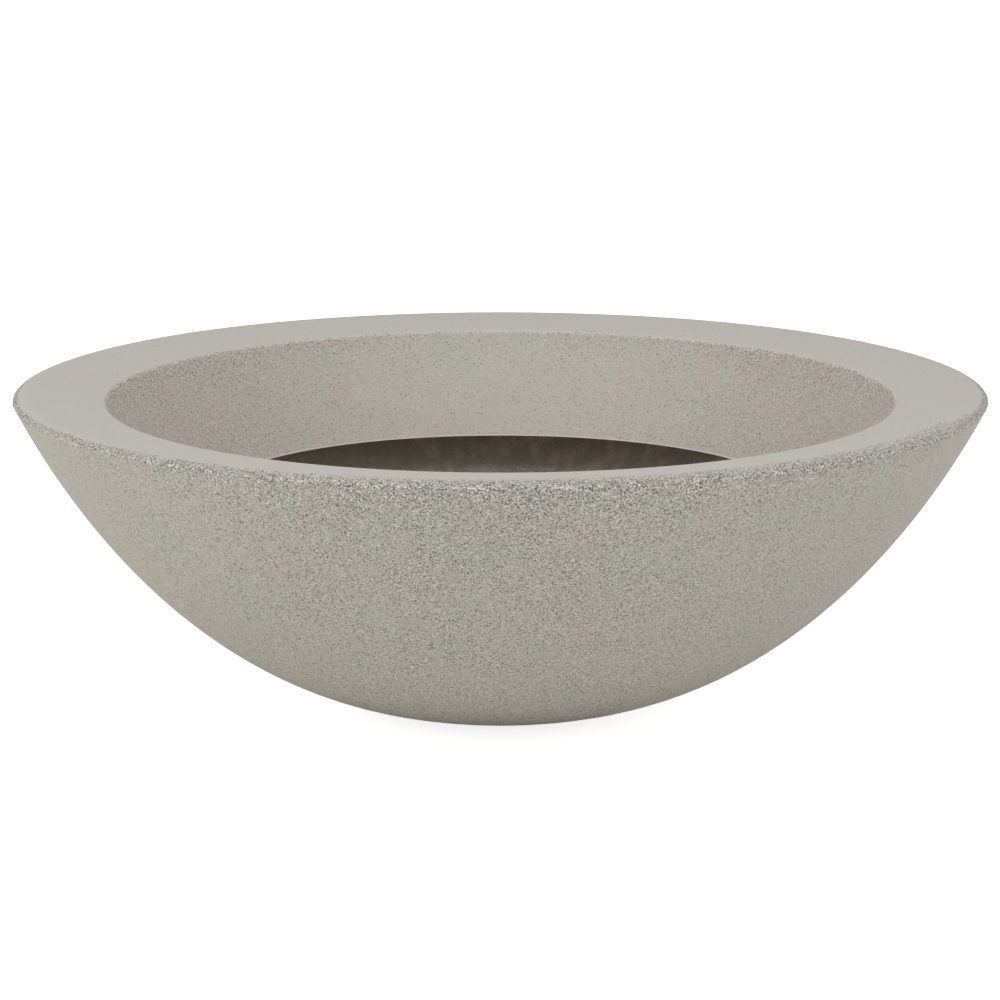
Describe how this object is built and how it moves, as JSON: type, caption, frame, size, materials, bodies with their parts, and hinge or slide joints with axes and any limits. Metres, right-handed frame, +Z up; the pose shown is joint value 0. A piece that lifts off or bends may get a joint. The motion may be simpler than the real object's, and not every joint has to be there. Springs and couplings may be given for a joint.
{
  "type": "concrete bowl planter",
  "caption": "Low, wide round concrete bowl planter with a flat rim, an inward-sloping collar over a hollow, a plugged drain and rubber foot pads.",
  "frame": {"origin": "on the ground, under the middle of the bowl", "axes": "+Z is up along the bowl's axis; the part is round, and +X runs along the drain plug's pull tab"},
  "size_m": [0.914, 0.914, 0.3],
  "materials": {
    "concrete": "matte",
    "mortar": "matte",
    "sleeve_plastic": "satin",
    "plug_rubber": "matte",
    "pad_rubber": "matte"
  },
  "bodies": {
    "planter": {"bowl_shell": "concrete", "rim_collar": "concrete", "collar_mortar": "mortar", "drain_sleeve": "sleeve_plastic", "foot_pad_1": "pad_rubber", "foot_pad_2": "pad_rubber", "foot_pad_3": "pad_rubber", "foot_pad_4": "pad_rubber"},
    "plug": {"drain_plug": "plug_rubber"}
  },
  "joints": [
    {"name": "plug_lift", "type": "slide", "parent": "planter", "child": "plug", "axis": [0, 0, 1], "range_m": [0, 0.06]}
  ]
}
